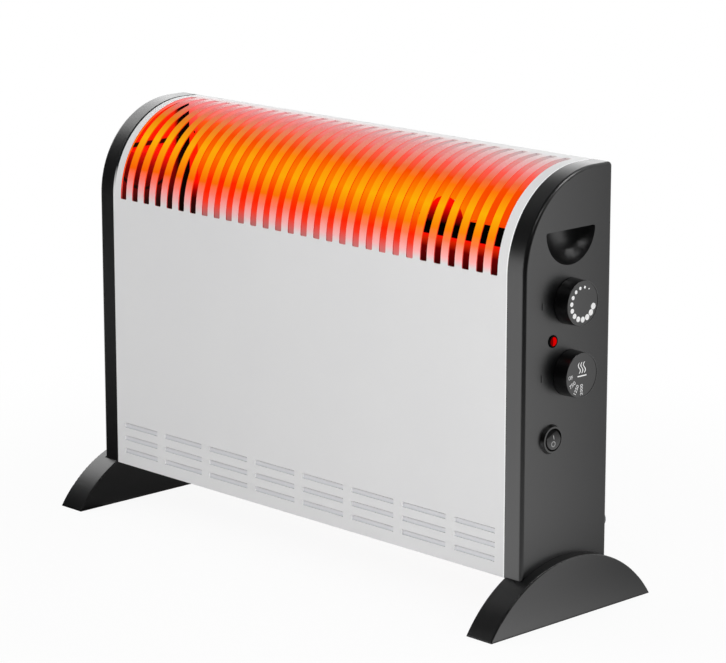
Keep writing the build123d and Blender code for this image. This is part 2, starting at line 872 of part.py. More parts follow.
def selector_switch():
    z = selector_z
    low = cap_inside - selector_depth
    case = disc_x(selector_radius, low, cap_inside, control_y, z)
    ring = disc_x(selector_ring_radius, low - selector_ring_height, low, control_y, z)
    tab = block(low - tab_length, low, -tab_thickness / 2, tab_thickness / 2, -tab_width / 2, tab_width / 2)
    tabs = []
    for turn in range(45, 360, 90):
        y = control_y + selector_tab_circle * math.cos(math.radians(turn))
        rise = z + selector_tab_circle * math.sin(math.radians(turn))
        tabs.append(Pos(0, y, rise) * tab)
    return case + ring + tabs + threaded_collar(z) - stem_bore(z)


def lamp_holder():
    bezel = disc_x(lamp_bezel_radius, cap_face, cap_face + lamp_bezel_height, lamp_y, lamp_z)
    rim = bezel.faces().sort_by(Axis.X)[-1].edges()
    bezel = chamfer(rim, lamp_bezel_height / 3)
    inner = cap_face - lamp_length
    outer = cap_face + lamp_bezel_height
    barrel = disc_x(lamp_barrel_radius, inner, cap_face + lamp_bezel_height / 2, lamp_y, lamp_z)
    socket = disc_x(lamp_radius - lamp_ledge, inner + lamp_floor, outer, lamp_y, lamp_z)
    seat = disc_x(lamp_radius + stem_play, cap_face - lamp_seat, outer + past, lamp_y, lamp_z)
    half = tab_thickness / 2
    rise = lamp_tab_width / 2
    tabs = []
    for y in (lamp_y - lamp_tab_spread, lamp_y + lamp_tab_spread):
        tabs.append(block(inner - lamp_tab_length, inner, y - half, y + half, lamp_z - rise, lamp_z + rise))
    return bezel + barrel - socket - seat + tabs


def lamp_lens():
    shoulder = lamp_seat + lamp_bezel_height
    ball = (lamp_radius**2 + lamp_dome**2) / (2 * lamp_dome)
    swing = math.degrees(math.asin(lamp_radius / ball))
    side = Polyline((shoulder + lamp_dome, 0), (0, 0), (0, lamp_radius), (shoulder, lamp_radius))
    dome = CenterArc((shoulder + lamp_dome - ball, 0), ball, 0, swing)
    return turned(make_face(side + dome), cap_face - lamp_seat, lamp_y, lamp_z)


def rocker_housing():
    foot = Plane((cap_face, rocker_y, rocker_z), x_dir=(0, 1, 0), z_dir=(1, 0, 0))
    seated = (Align.CENTER, Align.CENTER, Align.MIN)
    bezel = foot * Cone(rocker_bezel_radius, rocker_rim_radius, rocker_bezel_height, align=seated)
    inner = cap_face - rocker_length
    barrel = disc_x(rocker_barrel_radius, inner, cap_face + rocker_bezel_height / 2, rocker_y, rocker_z)
    outer = cap_face + rocker_bezel_height + past
    bore = disc_x(rocker_bore, rocker_x - rocker_well, outer, rocker_y, rocker_z)
    reach = rocker_bore + rocker_pin_seat
    seats = disc_y(rocker_pin + rocker_pin_play, rocker_y - reach, rocker_y + reach, rocker_x, rocker_z)
    half = tab_width / 2
    tabs = []
    for z in (rocker_z - rocker_tab_pitch, rocker_z, rocker_z + rocker_tab_pitch):
        low = z - tab_thickness / 2
        high = z + tab_thickness / 2
        tabs.append(block(inner - tab_length, inner, rocker_y - half, rocker_y + half, low, high))
    return bezel + barrel - bore - seats + tabs


def rocker_button():
    # The ball's poles lie on the pivot pin and its seam on the side that is cut away.
    ball = Location((rocker_x, rocker_y, rocker_z), (90, 0, 180)) * Sphere(rocker_ball)
    wide = 2 * rocker_ball
    ridge = rocker_x + rocker_face
    sunk = ridge - wide * math.tan(math.radians(rocker_throw))
    side = outline(
        (rocker_x - rocker_back, rocker_z - wide),
        (ridge, rocker_z - wide),
        (ridge, rocker_z),
        (sunk, rocker_z + wide),
        (rocker_x - rocker_back, rocker_z + wide),
    )
    button = ball & along_y(side, rocker_y - wide, rocker_y + wide)
    reach = rocker_bore + rocker_pin_seat - 2 * rocker_pin_play
    return button + disc_y(rocker_pin, rocker_y - reach, rocker_y + reach, rocker_x, rocker_z)


# Wiring parts

def terminal_block():
    half = block_width / 2
    body = block(block_place, block_place + block_length, -half, half, floor_top, floor_top + block_height)
    for i in range(block_ways):
        x = block_place + block_length * (i + 0.5) / block_ways
        for y in (-half / 2, half / 2):
            hole_floor = floor_top + block_hole_floor
            body = body - disc_z(block_hole_radius, hole_floor, floor_top + 2 * block_height, x, y)
    return body


def cable_inlet():
    x = (end + cap_inside) / 2
    z = body_base + inlet_rise
    flange = disc_y(inlet_flange, back, back + inlet_flange_height, x, z)
    rim = flange.faces().sort_by(Axis.Y)[-1].edges()
    flange = chamfer(rim, inlet_edge)
    inner = back + inlet_flange_height - inlet_length
    body = disc_y(inlet_body, inner, back + inlet_flange_height / 2, x, z)
    return flange + body - disc_y(inlet_bore, front, back + inlet_length, x, z)


nodes = {
    "front_casing": front_casing(),
    "rear_panel": rear_panel(),
    "bottom_grille": bottom_grille(),
    "right_end_cap": right_end_cap(),
    "left_end_cap": left_end_cap(),
    "right_foot": right_foot(),
    "left_foot": left_foot(),
    "foot_screws": foot_screws(),
    "casing_screws": casing_screws(),
    "plate_screws": plate_screws(),
    "lower_fin_block": fin_block(body_base + lower_element_rise),
    "upper_fin_block": fin_block(body_base + upper_element_rise),
    "lower_heating_rod": heating_rod(body_base + lower_element_rise),
    "upper_heating_rod": heating_rod(body_base + upper_element_rise),
    "element_bushes": element_bushes(),
    "left_end_plate": left_end_plate(),
    "control_shield": control_shield(),
    "reflector": reflector(),
    "thermal_cutout": thermal_cutout(),
    "fan_bracket": fan_bracket(),
    "fan_motor": fan_motor(),
    "fan_shaft": fan_shaft(),
    "fan_impeller": fan_impeller(),
    "thermostat_body": thermostat_body(),
    "thermostat_stem": stem(thermostat_z),
    "thermostat_knob": knob(thermostat_z),
    "selector_switch": selector_switch(),
    "selector_stem": stem(selector_z),
    "selector_knob": knob(selector_z),
    "control_nuts": control_nuts(),
    "lamp_holder": lamp_holder(),
    "lamp_lens": lamp_lens(),
    "rocker_housing": rocker_housing(),
    "rocker_button": rocker_button(),
    "terminal_block": terminal_block(),
    "cable_inlet": cable_inlet(),
}

os.makedirs("parts", exist_ok=True)
for name, made in nodes.items():
    solids = made if isinstance(made, list) else [made]
    group = Compound([solid for item in solids for solid in item.solids()])
    export_step(group.moved(Pos(-middle_x, 0, 0)), f"parts/{name}.step")
print("whole heater stands", middle_x, "mm off the middle of its casing")
print("knob axes at y", control_y, "z", thermostat_z, selector_z)
print("rocker pivot at", rocker_x - middle_x, rocker_y, rocker_z, "fan axis at", fan_place - middle_x)
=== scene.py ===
import math

import bpy
from mathutils import Matrix, Vector


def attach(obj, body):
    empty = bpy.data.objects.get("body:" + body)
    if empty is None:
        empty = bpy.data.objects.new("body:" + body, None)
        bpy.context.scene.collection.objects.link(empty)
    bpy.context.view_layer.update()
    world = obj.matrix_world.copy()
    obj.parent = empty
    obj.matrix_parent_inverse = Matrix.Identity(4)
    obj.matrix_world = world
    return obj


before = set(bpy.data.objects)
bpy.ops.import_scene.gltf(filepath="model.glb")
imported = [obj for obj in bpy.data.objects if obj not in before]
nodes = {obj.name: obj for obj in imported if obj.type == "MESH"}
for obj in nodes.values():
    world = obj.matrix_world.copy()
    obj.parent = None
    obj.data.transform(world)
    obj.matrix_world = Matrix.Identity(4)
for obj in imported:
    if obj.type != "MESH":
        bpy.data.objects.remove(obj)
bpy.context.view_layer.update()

mm = 0.001               # everything below is written in millimetres


# Small helpers

def linearColour(hexText):
    # an sRGB hex value, as shaders want it
    parts = [int(hexText[i:i + 2], 16) / 255 for i in (1, 3, 5)]
    return [p / 12.92 if p <= 0.04045 else ((p + 0.055) / 1.055) ** 2.4 for p in parts] + [1.0]


def addNode(tree, kind, settings=None, links=None):
    # one node, its settings by name, and what feeds its inputs: sockets, numbers or hex colours
    node = tree.nodes.new("ShaderNode" + kind)
    for key, value in (settings or {}).items():
        if isinstance(key, int) or key in node.inputs:
            node.inputs[key].default_value = value
        else:
            setattr(node, key, value)
    for key, source in (links or {}).items():
        if isinstance(source, bpy.types.NodeSocket):
            tree.links.new(source, node.inputs[key])
        else:
            node.inputs[key].default_value = linearColour(source) if isinstance(source, str) else source
    return node


def newMaterial(name, values=None):
    # a blank material, with the place on the object in millimetres and the way its surface faces
    material = bpy.data.materials.new(name)
    material.use_nodes = True
    tree = material.node_tree
    tree.nodes.clear()
    shader = addNode(tree, "BsdfPrincipled", values)
    addNode(tree, "OutputMaterial", links={"Surface": shader.outputs["BSDF"]})
    whole = addNode(tree, "TexCoord").outputs
    scale = {"operation": "SCALE", "Scale": 1 / mm}
    place = addNode(tree, "VectorMath", scale, {0: whole["Object"]}).outputs[0]
    spot = {"place": place}
    for prefix, vector in (("", place), ("facing", whole["Normal"])):
        axes = addNode(tree, "SeparateXYZ", links={0: vector})
        for axis in "XYZ":
            spot[prefix + axis] = axes.outputs[axis]
    return material, tree, shader, spot


def mask(tree, *edges):
    # 1 where all its edges are 1; an edge is a mask, or a place with where it gives 0, where it gives 1
    # and how it eases between them
    whole = None
    for edge in edges:
        if isinstance(edge, tuple):
            place, start, end, *kind = edge
            ease = {"interpolation_type": kind[0] if kind else "LINEAR", 1: start, 2: end}
            edge = addNode(tree, "MapRange", ease, {0: place}).outputs[0]
        if whole is None:
            whole = edge
        else:
            whole = addNode(tree, "Math", {"operation": "MULTIPLY"}, {0: whole, 1: edge}).outputs[0]
    return whole


def either(tree, first, *others):
    # 1 where any of the masks is 1
    for other in others:
        first = addNode(tree, "Math", {"operation": "MAXIMUM"}, {0: first, 1: other}).outputs[0]
    return first


def paint(tree, colour, *coats):
    # lays coats over a colour; each is a mask and the colour that shows where it is 1
    for where, over in coats:
        colour = addNode(tree, "Mix", {"data_type": "RGBA"}, {0: where, 6: colour, 7: over}).outputs[2]
    return colour


def heatAlong(tree, place, reach, stops):
    # colours or shares along a way; stops are places on it and what shows there
    low, high = reach
    node = addNode(tree, "ValToRGB", links={0: mask(tree, (place, low, high))})
    ramp = node.color_ramp
    while len(ramp.elements) < len(stops):
        ramp.elements.new(0.5)
    for element, (at, shade) in zip(ramp.elements, stops):
        element.position = (at - low) / (high - low)
        if isinstance(shade, str):
            element.color = linearColour(glow.get(shade, shade))
        else:
            element.color = (shade, shade, shade, 1.0)
    return node.outputs[0]


def reachFrom(tree, spot, centre, plane=(1, 1, 1)):
    # distance from a centre, in space or within a plane
    flat = addNode(tree, "VectorMath", {"operation": "MULTIPLY", 1: plane}, {0: spot["place"]}).outputs[0]
    aim = [c * p for c, p in zip(centre, plane)]
    return addNode(tree, "VectorMath", {"operation": "DISTANCE", 1: aim}, {0: flat}).outputs["Value"]


def addGrain(tree, shader, pattern, roughness, strength, depth, span=(0.3, 0.7)):
    # a pattern makes the surface rougher and smoother, and stands out by its real depth
    ends = {1: span[0], 2: span[1], 3: roughness[0], 4: roughness[1]}
    rough = addNode(tree, "MapRange", ends, {0: pattern}).outputs[0]
    raised = addNode(tree, "Bump", {"Strength": strength, "Distance": depth * mm}, {"Height": pattern})
    tree.links.new(rough, shader.inputs["Roughness"])
    tree.links.new(raised.outputs["Normal"], shader.inputs["Normal"])
    return rough


def shine(tree, shader, light):
    tree.links.new(light, shader.inputs["Emission Color"])
    shader.inputs["Emission Strength"].default_value = heatGlow["strength"]


def giveFinish(material, *names):
    for name in names:
        slots = nodes[name].data.materials
        slots.clear()
        slots.append(material)


# Colours of the element's light

glow = {
    "none": "#000000",
    "cold": "#1A0606",
    "faint": "#3C0000",
    "dull": "#680000",
    "ember": "#940000",
    "red": "#D02000",
    "crimson": "#FE0C00",
    "blaze": "#FE2400",
    "scarlet": "#F83820",
    "vermilion": "#F84A00",
    "flame": "#FF5A18",
    "orange": "#FC7000",
    "honey": "#FE9000",
    "amber": "#FCB000",
    "rose": "#FF5C50",
    "brick": "#C04040",
    "blush": "#F49498",
    "ash": "#C4B2B4",
    "dusk": "#9C6C6C",
    "rouge": "#D07C7C",
}


# Front casing, with the element's light on its slotted bend

heatGlow = {
    "leftEnd": -214.0,      # middle of the first and of the last bar
    "rightEnd": 209.0,
    "fadeOut": 1.0,         # past the first and the last slot
    "strength": 1.0,
}
# the first and the last slot, how far the last cut face is lit, and the height where cut faces begin to be
slotField = {"left": -241.0, "right": 236.5, "lastCut": (246.0, 245.0), "foot": (262.0, 265.0)}
# the bend: y of the front, height where it starts, and radius
bend = {"front": -52.5, "foot": 295.0, "radius": 85.0}
coat = {
    "colour": "#E3E3E3",
    "colourDeep": "#DFDFE0",
    "roughness": (0.40, 0.48),
    "grain": 1.4,           # size of the orange peel
    "grainDepth": 0.012,
    "cloud": 90.0,
    "seamTo": -250.1,       # shade in the joint with the left cap, from low on the bend
    "seamFoot": (0.06, 0.2),
    "seamColour": "#1A1E20",
    "highlightFrom": 247.1,       # the folded right edge, with a painted highlight along it
    "highlightColour": "#FFFFFF",
    "softEdge": 0.3,
    "sideFace": (0.4, 0.6),             # how far a face has to look to the right
    "louvreFloor": "#DADADD",
    "louvreFoot": "#D2D4D7",
    "louvreWall": "#FFFFFF",
    "louvreDepth": (-52.1, -51.6),
    "louvreTop": (121.0, 120.0),
    "louvreFirst": 51.3,                # lowest row, and the way to the next
    "louvrePitch": 12.3,
    "louvreShade": (1.3, 0.9),          # height of the line along a louvre's foot
}
alongBend = (-0.1, 1.1)     # shares of the bend that the stops below may use
casingHeat = {
    # how much of the white coat is lost in the glow, the colours of the bars, of the slots' cut faces and
    # of the cap's rim beside them, and how early the right bars' colours come
    "coverLeft": [(0.0, 0.0), (0.04, 0.27), (0.13, 0.77), (0.2, 1.0), (0.67, 1.0), (0.77, 0.9),
                  (0.86, 0.75), (0.95, 0.53), (1.06, 0.0)],
    "coverRight": [(0.0, 0.0), (0.04, 0.42), (0.13, 0.93), (0.19, 1.0), (0.52, 1.0), (0.61, 0.94),
                   (0.69, 0.75), (0.77, 0.53), (0.98, 0.15), (1.04, 0.0)],
    "barLeft": [(0.0, "none"), (0.04, "ember"), (0.09, "red"), (0.16, "vermilion"), (0.45, "amber"),
                (0.86, "red"), (0.98, "ember"), (1.08, "none")],
    "barRight": [(0.0, "none"), (0.04, "red"), (0.14, "orange"), (0.34, "amber"), (0.53, "orange"),
                 (0.73, "red"), (0.87, "ember"), (1.03, "none")],
    "cutLeft": [(-0.04, "none"), (0.02, "brick"), (0.1, "scarlet"), (0.3, "vermilion"), (0.66, "vermilion"),
                (0.8, "rose"), (1.0, "blush"), (1.08, "none")],
    "cutRight": [(-0.04, "none"), (0.02, "brick"), (0.12, "scarlet"), (0.3, "vermilion"),
                 (0.6, "vermilion"), (0.74, "rose"), (1.0, "ash"), (1.08, "none")],
    "rim": [(-0.04, "none"), (0.08, "rose"), (0.2, "flame"), (0.45, "honey"), (0.68, "flame"),
            (1.0, "blush"), (1.08, "none")],
    "early": [(0.2, 0.35), (0.36, 1.0), (0.6, 1.0), (0.84, 0.0)],
}


def bendShare(tree, spot):
    # 0 where the bend starts on the front, 1 where it ends on the top
    rise = addNode(tree, "Math", {"operation": "ADD"}, {0: spot["Z"], 1: spot["Y"]}).outputs[0]
    start = bend["foot"] + bend["front"]
    ends = {"clamp": False, 1: start, 2: start + 2 * bend["radius"]}
    return addNode(tree, "MapRange", ends, {0: rise}).outputs[0]


def acrossRow(tree, spot, share):
    # 0 at the first bar and 1 at the last; it rises early in the middle of the bend, and late near its top
    way = mask(tree, (spot["X"], heatGlow["leftEnd"], heatGlow["rightEnd"]))
    rest = addNode(tree, "Math", {"operation": "SUBTRACT", 0: 1.0}, {1: way}).outputs[0]
    early = heatAlong(tree, share, alongBend, casingHeat["early"])
    ease = addNode(tree, "MapRange", {3: -1.0, 4: 1.0}, {0: early}).outputs[0]
    middle = mask(tree, way, rest)
    return addNode(tree, "Math", {"operation": "MULTIPLY_ADD"}, {0: middle, 1: ease, 2: way}).outputs[0]


def slotWindow(tree, spot):
    # 1 over the slots, fading to 0 just outside them
    left, right, fade = slotField["left"], slotField["right"], heatGlow["fadeOut"]
    return mask(tree, (spot["X"], left - fade, left + fade, "SMOOTHSTEP"),
                (spot["X"], right + fade, right - fade, "SMOOTHSTEP"))


def shadeLouvres(tree, spot, colour):
    # the sunk floor of each louvre takes less light, least along its foot, and its left wall takes most
    low = mask(tree, (spot["Z"], *coat["louvreTop"]))
    sunk = mask(tree, (spot["Y"], *coat["louvreDepth"]), low)
    wall = mask(tree, (spot["facingX"], *coat["sideFace"]), low)
    lift = addNode(tree, "Math", {"operation": "SUBTRACT", 1: coat["louvreFirst"]}, {0: spot["Z"]})
    up = addNode(tree, "Math", {"operation": "MODULO", 1: coat["louvrePitch"]}, {0: lift.outputs[0]})
    foot = mask(tree, sunk, (up.outputs[0], *coat["louvreShade"]))
    return paint(tree, colour, (sunk, coat["louvreFloor"]), (foot, coat["louvreFoot"]),
                 (wall, coat["louvreWall"]))


def lightCasing(tree, shader, spot, rough, colour):
    colour = shadeLouvres(tree, spot, colour)
    share = bendShare(tree, spot)
    across = acrossRow(tree, spot, share)
    sides = {}
    for name in ("cover", "bar", "cut"):
        left = heatAlong(tree, share, alongBend, casingHeat[name + "Left"])
        right = heatAlong(tree, share, alongBend, casingHeat[name + "Right"])
        sides[name] = paint(tree, left, (across, right))
    cut = mask(tree, (spot["facingX"], *coat["sideFace"]), (spot["Z"], *slotField["foot"]))
    window = either(tree, slotWindow(tree, spot), mask(tree, cut, (spot["X"], *slotField["lastCut"])))
    hidden = mask(tree, either(tree, sides["cover"], cut), window)
    seam = mask(tree, (share, *coat["seamFoot"]),
                (spot["X"], coat["seamTo"], coat["seamTo"] - coat["softEdge"]))
    # a painted highlight, white, along the folded right edge
    edgeHighlight = mask(tree, (spot["X"], coat["highlightFrom"], coat["highlightFrom"] + coat["softEdge"]))
    tree.links.new(either(tree, rough, hidden, seam), shader.inputs["Roughness"])
    heat = paint(tree, sides["bar"], (cut, sides["cut"]))
    shine(tree, shader, paint(tree, "#000000", (window, heat)))
    return paint(tree, colour, (seam, coat["seamColour"]), (edgeHighlight, coat["highlightColour"]), (hidden, "#000000"))


def powderCoat(name, lit):
    # Powder-coated steel sheet: baked polyester, which gives a satin white with a faint orange peel
    material, tree, shader, spot = newMaterial(name, {"IOR": 1.5, "Specular IOR Level": 0.1})
    cloud = addNode(tree, "TexNoise", {"Scale": 1 / coat["cloud"], "Detail": 3.0}, {"Vector": spot["place"]})
    peel = addNode(tree, "TexNoise", {"Scale": 1 / coat["grain"], "Detail": 2.0}, {"Vector": spot["place"]})
    colour = paint(tree, coat["colour"], (cloud.outputs[0], coat["colourDeep"]))
    rough = addGrain(tree, shader, peel.outputs[0], coat["roughness"], 0.5, coat["grainDepth"])
    if lit == "bend":
        colour = lightCasing(tree, shader, spot, rough, colour)
    else:
        # the inner face of the rear panel is painted dark, as shade inside the body, and glows with the
        # reflector
        inner = mask(tree, (spot["Y"], *reflectorLook["rearFace"]))
        colour = paint(tree, colour, (inner, reflectorLook["innerShade"]))
        reflectorGlow(tree, shader, spot)
    tree.links.new(colour, shader.inputs["Base Color"])
    return material


# End caps and feet

patchSize = 60.0        # of the fainter and darker patches in moulded plastic
capLook = {"colours": ("#09090A", "#070708"), "roughness": (0.30, 0.36), "grain": 0.9, "grainDepth": 0.02}
knobLook = {"colours": ("#040404", "#020203"), "roughness": (0.30, 0.36), "grain": 0.7, "grainDepth": 0.015}
switchLook = {"colours": ("#050505", "#030303"), "roughness": (0.28, 0.34), "grain": 0.6, "grainDepth": 0.01}
capInside = {
    "inward": (0.45, 0.7),                  # how far a face has to look each way to count
    "forward": (-0.6, -0.7),
    "upward": (0.6, 0.7),
    "wall": -269.8,                         # inner face of the left cap
    "wallNear": (-268.3, -269.3),           # the glow's start and end, in front of that face and behind it
    "wallDeep": (-271.0, -270.6),
    "ball": (-281.3, 2.1, 330.0),           # centre of the pocket's ball, and its radius inside the cap
    "ballRadius": 33.25,
    "ballSides": ((-1.2, -0.8), (1.4, 1.0)),
    "shadeCentre": (0.0, 3.0, 332.0),       # the shade line round the pocket's foot
    "shadeRadius": 38.5,
    "shadeSides": ((-2.2, -1.2), (1.6, 0.6)),
    "shadeTop": (337.5, 336.5),
    "shadeColour": "#040000",
    "lineFoot": (333.8, 334.6),             # the shade line over the pocket, red in its middle
    "lineTop": (338.9, 338.1),
    "lineEnd": (36.0, 34.0),
    "lineRed": ((-4.0, 4.0), (26.0, 16.0)),
    "lineColour": "#480003",
    "wallEnd": (35.5, 43.5),
    "ledgeFoot": (331.5, 331.8),            # the ledge over the pocket
    "ledgeTop": (333.5, 333.2),
    "ledgeColour": "#FF1400",
    "flangeFrom": (41.0, 41.5),
    "flangeTop": (376.5, 375.5),
    "stripFrom": -226.5,                    # the corner behind, as x + y, where no light comes
    "stripTo": -212.5,
    "rimFrom": (-246.0, -245.5),
    "rimTo": (41.5, 41.0),
    "lean": 0.35,                           # the bulge is lit from behind, so its glow rises with y
}
upCap = (260, 390)          # heights that the stops below may use
capHeat = {
    "wall": [(282, "cold"), (300, "dull"), (316, "ember"), (331, "crimson"), (372, "blaze"), (388, "rose")],
    "bulge": [(293, "faint"), (304, "dull"), (315, "ember"), (330, "crimson")],
    "flange": [(268, "cold"), (280, "faint"), (287, "ember"), (296, "crimson"), (345, "blaze"),
               (363, "rose"), (374, "blush")],
}


def lightCap(tree, shader, spot, rough):
    # the left cap's inner face, lit red by the element
    x, y, z = (spot[axis] for axis in "XYZ")
    look = capInside
    wall = look["wall"]
    inward = mask(tree, (spot["facingX"], *look["inward"]))
    forward = mask(tree, (spot["facingY"], *look["forward"]))
    upward = mask(tree, (spot["facingZ"], *look["upward"]))
    # the wall, with the shade round the pocket
    onWall = mask(tree, inward, (x, *look["wallNear"]), (x, *look["wallDeep"]))
    reach = reachFrom(tree, spot, look["shadeCentre"], (0, 1, 1))
    radius = look["shadeRadius"]
    ring = mask(tree, *[(reach, radius + start, radius + end) for start, end in look["shadeSides"]],
                (z, *look["shadeTop"]))
    line = mask(tree, (z, *look["lineFoot"]), (z, *look["lineTop"]), (y, *look["lineEnd"]))
    middle = mask(tree, *[(y, *edge) for edge in look["lineRed"]])
    lineLight = paint(tree, "#000000", (middle, look["lineColour"]))
    pocket = mask(tree, (reach, radius + 0.2, radius - 0.2), (z, look["lineFoot"][1], look["lineFoot"][0]))
    slant = addNode(tree, "Math", {"operation": "MULTIPLY_ADD", 1: look["lean"]}, {0: y, 2: z}).outputs[0]
    bulgeLight = heatAlong(tree, slant, upCap, capHeat["bulge"])
    beyond = mask(tree, (y, *look["wallEnd"], "SMOOTHSTEP"))
    light = paint(tree, heatAlong(tree, z, upCap, capHeat["wall"]), (pocket, bulgeLight), (line, lineLight),
                  (ring, look["shadeColour"]), (beyond, "#000000"))
    light = paint(tree, "#000000", (onWall, light))
    # the back of the pocket, and the ledge over it
    fromBall = reachFrom(tree, spot, look["ball"])
    ball = look["ballRadius"]
    onBall = mask(tree, *[(fromBall, ball + start, ball + end) for start, end in look["ballSides"]],
                  (x, wall + 0.2, wall + 0.6))
    onLedge = mask(tree, upward, (z, *look["ledgeFoot"]), (z, *look["ledgeTop"]), (x, wall - 1.0, wall - 0.5))
    # the flange behind and its bosses, and the rim under the first slot
    onFlange = mask(tree, (y, *look["flangeFrom"]), (x, wall + 0.5, wall + 1.0),
                    either(tree, forward, inward, upward), (z, *look["flangeTop"]))
    corner = addNode(tree, "Math", {"operation": "ADD"}, {0: x, 1: y}).outputs[0]
    unlit = mask(tree, (corner, look["stripFrom"] - 0.5, look["stripFrom"]),
                 (corner, look["stripTo"], look["stripTo"] - 0.5))
    onRim = mask(tree, inward, (x, *look["rimFrom"]), (y, *look["rimTo"]))
    light = paint(tree, light, (onBall, bulgeLight), (onLedge, look["ledgeColour"]),
                  (onFlange, heatAlong(tree, z, upCap, capHeat["flange"])), (unlit, "#000000"),
                  (onRim, heatAlong(tree, bendShare(tree, spot), alongBend, casingHeat["rim"])))
    # full roughness where the glow is painted, so that no reflection shows over it
    roughUnderGlow = either(tree, rough, onWall, onBall, onFlange, onLedge)
    tree.links.new(roughUnderGlow, shader.inputs["Roughness"])
    shine(tree, shader, light)


def mouldedPlastic(name, look, lightInside=None):
    # Injection-moulded ABS: near black and satin, with a fine spark-eroded grain
    material, tree, shader, spot = newMaterial(name, {"IOR": 1.54})
    grain = addNode(tree, "TexNoise", {"Scale": 1 / look["grain"], "Detail": 3.0}, {"Vector": spot["place"]})
    patch = addNode(tree, "TexNoise", {"Scale": 1 / patchSize, "Detail": 2.0}, {"Vector": spot["place"]})
    dark, deep = look["colours"]
    tree.links.new(paint(tree, dark, (patch.outputs[0], deep)), shader.inputs["Base Color"])
    rough = addGrain(tree, shader, grain.outputs[0], look["roughness"], 0.4, look["grainDepth"])
    if lightInside:
        lightInside(tree, shader, spot, rough)
    return material


# Reflector and shield behind the slots

reflectorLook = {
    "rearFace": (52.2, 52.0),       # from here forward the rear panel is its inner face
    # the rear panel's inner face, painted dark as shade
    "innerShade": "#141010",
    "facing": (0.6, 0.5),
    "leftToMiddle": (-200, 40),
    "middleToRight": (85, 135),
}
upReflector = (250, 380)    # heights that the stops below may use
reflectorHeat = {
    "left": [(266, "dusk"), (281, "scarlet"), (291, "blaze"), (303, "blaze"), (326, "orange"),
             (348, "vermilion"), (357, "flame"), (375, "blush")],
    "middle": [(266, "rouge"), (280, "scarlet"), (289, "blaze"), (299, "vermilion"), (320, "honey"),
               (345, "vermilion"), (358, "rose"), (375, "ash")],
    "right": [(300, "vermilion"), (343, "vermilion"), (357, "rose"), (375, "ash")],
}
shieldLook = {
    "pastEar": (176, 177),
    "earTop": (311.2, 311.6),
    "shelf": ((0.6, 0.8), (-20, -10)),
    "shelfColour": "#F64400",
    "firstEdge": ((121.6, 121.2), (311, 312)),
    "firstEdgeColour": "#FF6A00",
}
upShield = (255, 350)
shieldHeat = [(284, "cold"), (300, "dull"), (307, "red"), (311, "crimson"), (311.4, "none"), (322, "none"),
              (329, "ember"), (339, "crimson")]


def reflectorGlow(tree, shader, spot):
    # the sheet behind the element glows from rose at the foot through orange to pink at the top
    left, middle, right = (heatAlong(tree, spot["Z"], upReflector, reflectorHeat[side])
                           for side in ("left", "middle", "right"))
    light = paint(tree, left, (mask(tree, (spot["X"], *reflectorLook["leftToMiddle"])), middle),
                  (mask(tree, (spot["X"], *reflectorLook["middleToRight"])), right))
    ahead = mask(tree, (spot["facingY"], *reflectorLook["facing"]), (spot["Y"], *reflectorLook["rearFace"]))
    shine(tree, shader, paint(tree, "#000000", (ahead, light)))


def shieldGlow(tree, shader, spot):
    # the partition beside the controls, dark at the foot and red near its lip; its shelf shows amber
    x, y, z = (spot[axis] for axis in "XYZ")
    up, back = shieldLook["shelf"]
    side, foot = shieldLook["firstEdge"]
    pastEar = mask(tree, (x, *shieldLook["pastEar"]), (z, *shieldLook["earTop"]))
    shine(tree, shader, paint(tree, heatAlong(tree, z, upShield, shieldHeat), (pastEar, "#000000"),
                              (mask(tree, (spot["facingZ"], *up), (y, *back)), shieldLook["shelfColour"]),
                              (mask(tree, (x, *side), (z, *foot)), shieldLook["firstEdgeColour"])))


# Finishes that are a grain and two colours

